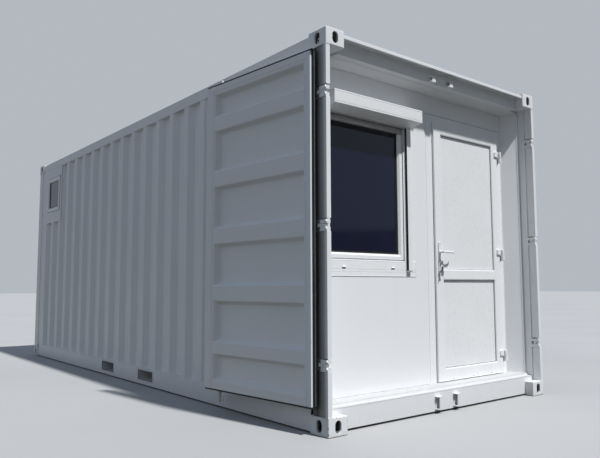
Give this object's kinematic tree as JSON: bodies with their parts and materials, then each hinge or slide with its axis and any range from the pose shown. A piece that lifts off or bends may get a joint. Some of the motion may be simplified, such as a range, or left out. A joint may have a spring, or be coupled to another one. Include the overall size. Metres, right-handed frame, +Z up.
{
  "type": "portable site cabin",
  "caption": "Steel container site cabin with folded-back cargo doors, set-back front wall, entrance door and shuttered window.",
  "frame": {"origin": "middle of the base, level with the undersides of the lower corner castings", "axes": "front (door end) faces -Y, length along Y, +Z up, left side is -X seen from the front"},
  "size_m": [2.748, 6.058, 2.591],
  "materials": {
    "frame_paint": "semi-gloss white paint on welded steel",
    "panel_paint": "semi-gloss white paint on pressed sheet",
    "door_paint": "semi-gloss white paint on pressed sheet",
    "front_wall_skin": "satin white coated sheet",
    "lining_board": "matt white faced board",
    "floor_board": "sealed plywood",
    "white_pvc": "smooth white plastic profile",
    "shutter_aluminium": "white coated roll-formed sheet",
    "handle_metal": "white coated cast handle",
    "dark_glass": "clear double glazing over a dark room",
    "black_rubber": "black door gasket"
  },
  "bodies": {
    "cabin": {"bottom_corner_castings": "frame_paint", "top_corner_castings": "frame_paint", "front_corner_posts": "frame_paint", "rear_corner_posts": "frame_paint", "bottom_side_rails": "frame_paint", "fork_pockets": "frame_paint", "floor_cross_members": "frame_paint", "front_sill": "frame_paint", "front_header": "frame_paint", "rear_end_rails": "frame_paint", "top_side_rails": "frame_paint", "left_side_panel": "panel_paint", "right_side_panel": "panel_paint", "rear_end_panel": "panel_paint", "roof_panel": "panel_paint", "wall_linings": "lining_board", "ceiling_lining": "lining_board", "floor": "floor_board", "front_wall_window_side": "front_wall_skin", "front_wall_over_door": "front_wall_skin", "front_wall_right_strip": "front_wall_skin", "recess_side_linings": "front_wall_skin", "recess_ceiling": "front_wall_skin", "entrance_door_frame": "white_pvc", "entrance_hinges_frame_side": "white_pvc", "window_frame": "white_pvc", "window_sash": "white_pvc", "window_panes": "dark_glass", "shutter_box": "shutter_aluminium", "shutter_guides": "shutter_aluminium", "window_sill_fascia": "white_pvc", "side_window_frame": "white_pvc"},
    "left_door": {"left_cargo_door_frame": "door_paint", "left_cargo_door_panel": "door_paint", "left_cargo_door_gasket": "black_rubber"},
    "right_door": {"right_cargo_door_frame": "door_paint", "right_cargo_door_panel": "door_paint", "right_cargo_door_gasket": "black_rubber"},
    "left_lock_rod_body": {"left_lock_rod": "door_paint"},
    "right_lock_rod_body": {"right_lock_rod": "door_paint"},
    "entrance_door_body": {"entrance_door_leaf": "white_pvc", "entrance_door_panels": "white_pvc", "door_handle_plate": "handle_metal", "entrance_hinges_leaf_side": "white_pvc"},
    "lever_body": {"door_lever": "handle_metal"}
  },
  "joints": [
    {"name": "left_cargo_door", "type": "hinge", "parent": "cabin", "child": "left_door", "pos_m": [-1.2, -2.986, 1.3], "axis": [0, 0, 1], "range_deg": [0, 264.6]},
    {"name": "right_cargo_door", "type": "hinge", "parent": "cabin", "child": "right_door", "pos_m": [1.2, -2.986, 1.3], "axis": [0, 0, -1], "range_deg": [0, 264.6]},
    {"name": "left_lock_rod_turn", "type": "hinge", "parent": "left_door", "child": "left_lock_rod_body", "pos_m": [-1.29011, -1.89464, 1.3], "axis": [0, 0, -1], "range_deg": [0, 90]},
    {"name": "right_lock_rod_turn", "type": "hinge", "parent": "right_door", "child": "right_lock_rod_body", "pos_m": [1.29011, -1.89464, 1.3], "axis": [0, 0, -1], "range_deg": [0, 90]},
    {"name": "entrance_door", "type": "hinge", "parent": "cabin", "child": "entrance_door_body", "pos_m": [1.004, -2.817, 1.2], "axis": [0, 0, -1], "range_deg": [-95, 0]},
    {"name": "entrance_lever", "type": "hinge", "parent": "entrance_door_body", "child": "lever_body", "pos_m": [0.162, -2.829, 1.186], "axis": [0, 1, 0], "range_deg": [0, 40], "stiffness_Nm_per_rad": 1.5, "springref_deg": -20.05}
  ]
}
